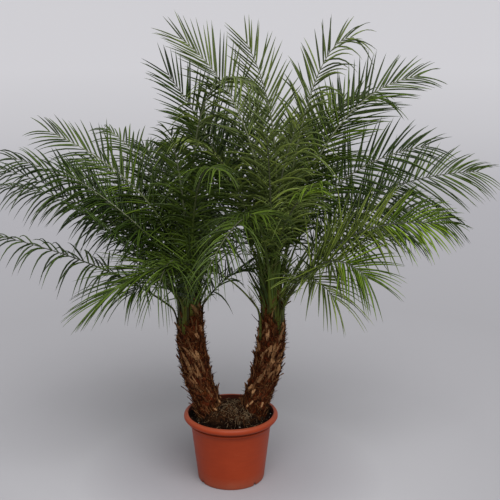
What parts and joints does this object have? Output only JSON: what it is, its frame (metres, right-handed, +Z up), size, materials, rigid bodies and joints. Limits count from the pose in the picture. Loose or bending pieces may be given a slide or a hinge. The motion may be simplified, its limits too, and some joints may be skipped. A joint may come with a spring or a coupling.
{
  "type": "potted pygmy date palm with two trunks",
  "caption": "Pygmy date palm, two leaning stub-covered trunks from one clump with full feathery crowns, in a round terracotta-coloured plastic nursery pot.",
  "frame": {"origin": "centre of the pot's flat underside, on the floor", "axes": "+Z up along the pot's axis, +X towards the right trunk, -Y towards the front"},
  "size_m": [1.6184, 1.2419, 1.4666],
  "materials": {
    "terracotta_plastic": "satin moulded plastic",
    "soil": "moist crumbly peat",
    "roots": "rough matted roots",
    "bark": "rough, covered with old leaf bases and fibres",
    "young_leaf": "satin leaf",
    "leaf": "satin leaf",
    "old_leaf": "satin leaf"
  },
  "bodies": {
    "root": {"pot": "terracotta_plastic", "soil": "soil", "root_mound": "roots", "trunk_left": "bark", "trunk_right": "bark", "frond_left_01": "young_leaf", "frond_left_02": "young_leaf", "frond_left_03": "young_leaf", "frond_left_04": "young_leaf", "frond_left_05": "young_leaf", "frond_left_06": "young_leaf", "frond_left_07": "young_leaf", "frond_left_08": "leaf", "frond_left_09": "leaf", "frond_left_10": "leaf", "frond_left_11": "leaf", "frond_left_12": "leaf", "frond_left_13": "leaf", "frond_left_14": "leaf", "frond_left_15": "leaf", "frond_left_16": "leaf", "frond_left_17": "old_leaf", "frond_left_18": "old_leaf", "frond_left_19": "old_leaf", "frond_left_20": "old_leaf", "frond_left_21": "old_leaf", "frond_left_22": "old_leaf", "frond_left_23": "old_leaf", "frond_left_24": "old_leaf", "frond_right_01": "young_leaf", "frond_right_02": "young_leaf", "frond_right_03": "young_leaf", "frond_right_04": "young_leaf", "frond_right_05": "young_leaf", "frond_right_06": "young_leaf", "frond_right_07": "young_leaf", "frond_right_08": "young_leaf", "frond_right_09": "leaf", "frond_right_10": "leaf", "frond_right_11": "leaf", "frond_right_12": "leaf", "frond_right_13": "leaf", "frond_right_14": "leaf", "frond_right_15": "leaf", "frond_right_16": "leaf", "frond_right_17": "leaf", "frond_right_18": "leaf", "frond_right_19": "old_leaf", "frond_right_20": "old_leaf", "frond_right_21": "old_leaf", "frond_right_22": "old_leaf", "frond_right_23": "old_leaf", "frond_right_24": "old_leaf", "frond_right_25": "old_leaf", "frond_right_26": "old_leaf", "frond_right_27": "old_leaf"}
  },
  "joints": []
}
